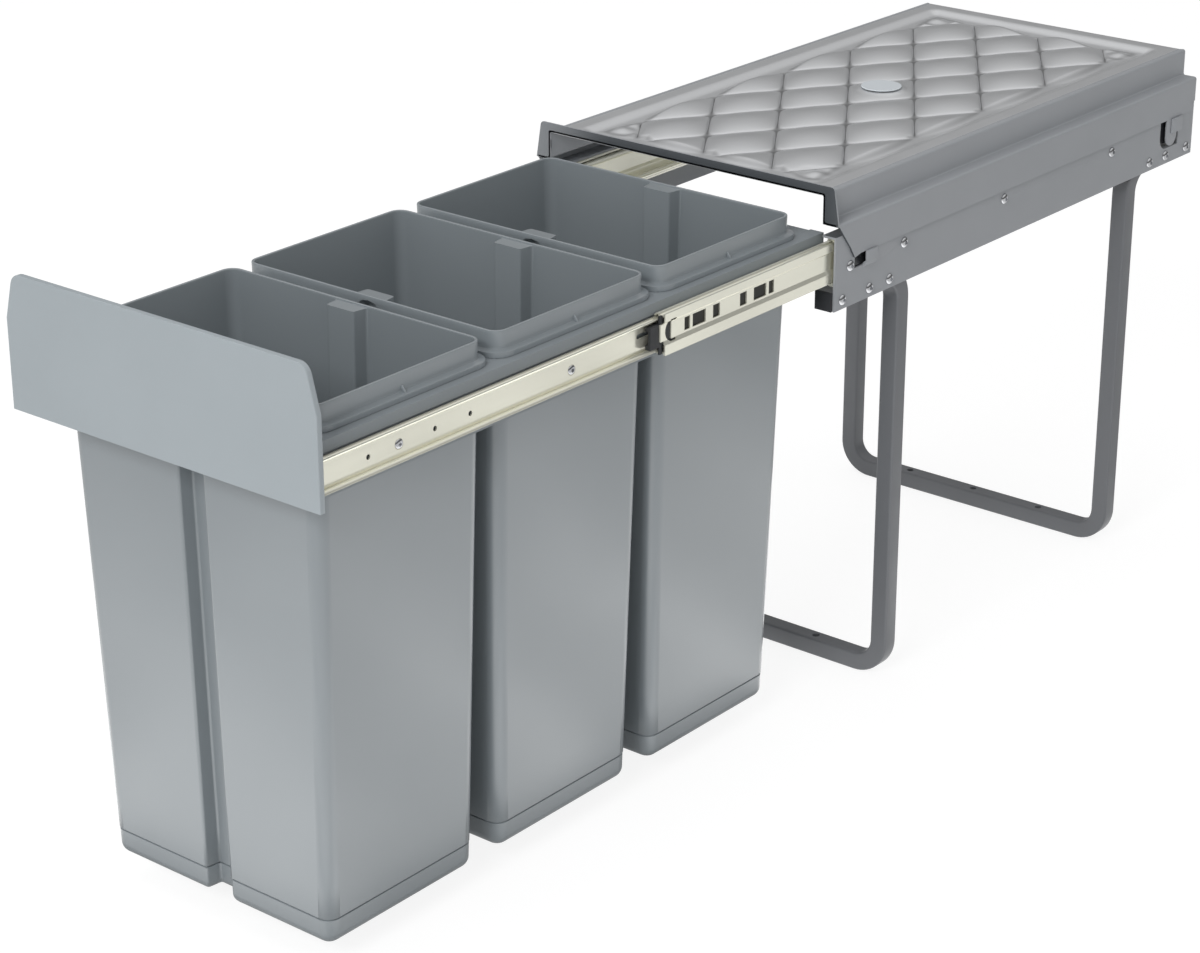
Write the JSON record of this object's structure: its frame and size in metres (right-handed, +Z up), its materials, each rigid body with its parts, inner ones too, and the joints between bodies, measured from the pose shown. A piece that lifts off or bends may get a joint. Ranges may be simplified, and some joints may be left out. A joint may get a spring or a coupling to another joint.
{
  "type": "pull out trash cabinet",
  "caption": "Pull-out waste bin unit for a kitchen cabinet: bins hang in a drawer frame on ball-bearing slides under a quilted metal lid on tube legs.",
  "frame": {"origin": "centre of the pattern of the outer floor screws, on the floor plane", "axes": "+X to the right seen from the front, +Y towards the back wall so that the drawer shuts along +Y, +Z up; drawn with the drawer fully open"},
  "size_m": [0.2568, 0.9376, 0.3942],
  "materials": {
    "grey_steel": "satin powder coat",
    "pale_grey_steel": "satin powder coat",
    "leg_steel": "satin powder coat",
    "zinc_steel": "zinc plated, rolled",
    "cage_steel": "zinc plated strip",
    "ball_steel": "polished",
    "screw_steel": "bright nickel plate",
    "bin_plastic": "moulded, faint sheen",
    "black_plastic": "moulded",
    "pale_badge": "plain disc"
  },
  "bodies": {
    "base": {"side_panel_left": "grey_steel", "side_panel_right": "grey_steel", "leg_front": "leg_steel", "leg_rear": "leg_steel", "leg_plugs": "black_plastic", "lid": "grey_steel", "lid_badge": "pale_badge", "slide_outer_left": "zinc_steel", "slide_outer_right": "zinc_steel", "slide_screws_left": "screw_steel", "slide_screws_right": "screw_steel", "leg_screws_left": "screw_steel", "leg_screws_right": "screw_steel"},
    "drawer": {"slide_inner_left": "zinc_steel", "slide_inner_right": "zinc_steel", "drawer_rail_left": "grey_steel", "drawer_rail_right": "grey_steel", "drawer_screws_left": "screw_steel", "drawer_screws_right": "screw_steel", "cross_bar_front": "grey_steel", "cross_bar_middle_1": "grey_steel", "cross_bar_middle_2": "grey_steel", "cross_bar_rear": "grey_steel", "front_plate": "pale_grey_steel", "plate_screws": "screw_steel"},
    "middle_member_left": {"slide_middle_left": "zinc_steel", "slide_stop_left": "black_plastic"},
    "outer_cage_left": {"cage_outer_left": "cage_steel", "balls_outer_left": "ball_steel"},
    "inner_cage_left": {"cage_inner_left": "cage_steel", "balls_inner_left": "ball_steel"},
    "middle_member_right": {"slide_middle_right": "zinc_steel", "slide_stop_right": "black_plastic"},
    "outer_cage_right": {"cage_outer_right": "cage_steel", "balls_outer_right": "ball_steel"},
    "inner_cage_right": {"cage_inner_right": "cage_steel", "balls_inner_right": "ball_steel"},
    "bin_front_body": {"bin_front": "bin_plastic"},
    "bin_middle_body": {"bin_middle": "bin_plastic"},
    "bin_rear_body": {"bin_rear": "bin_plastic"}
  },
  "joints": [
    {"name": "drawer_slide", "type": "slide", "parent": "base", "child": "drawer", "axis": [0, 1, 0], "range_m": [0, 0.45]},
    {"name": "middle_member_left_slide", "type": "slide", "parent": "base", "child": "middle_member_left", "axis": [0, 1, 0], "range_m": [0, 0.225]},
    {"name": "outer_cage_left_slide", "type": "slide", "parent": "base", "child": "outer_cage_left", "axis": [0, 1, 0], "range_m": [0, 0.1125]},
    {"name": "inner_cage_left_slide", "type": "slide", "parent": "base", "child": "inner_cage_left", "axis": [0, 1, 0], "range_m": [0, 0.3375]},
    {"name": "middle_member_right_slide", "type": "slide", "parent": "base", "child": "middle_member_right", "axis": [0, 1, 0], "range_m": [0, 0.225]},
    {"name": "outer_cage_right_slide", "type": "slide", "parent": "base", "child": "outer_cage_right", "axis": [0, 1, 0], "range_m": [0, 0.1125]},
    {"name": "inner_cage_right_slide", "type": "slide", "parent": "base", "child": "inner_cage_right", "axis": [0, 1, 0], "range_m": [0, 0.3375]},
    {"name": "bin_front_lift", "type": "slide", "parent": "drawer", "child": "bin_front_body", "axis": [0, 0, 1], "range_m": [0, 0.37]},
    {"name": "bin_middle_lift", "type": "slide", "parent": "drawer", "child": "bin_middle_body", "axis": [0, 0, 1], "range_m": [0, 0.37]},
    {"name": "bin_rear_lift", "type": "slide", "parent": "drawer", "child": "bin_rear_body", "axis": [0, 0, 1], "range_m": [0, 0.37]}
  ],
  "couplings": [
    {"joint": "middle_member_left_slide", "follows": "drawer_slide", "ratio": 0.5},
    {"joint": "outer_cage_left_slide", "follows": "drawer_slide", "ratio": 0.25},
    {"joint": "inner_cage_left_slide", "follows": "drawer_slide", "ratio": 0.75},
    {"joint": "middle_member_right_slide", "follows": "drawer_slide", "ratio": 0.5},
    {"joint": "outer_cage_right_slide", "follows": "drawer_slide", "ratio": 0.25},
    {"joint": "inner_cage_right_slide", "follows": "drawer_slide", "ratio": 0.75}
  ]
}
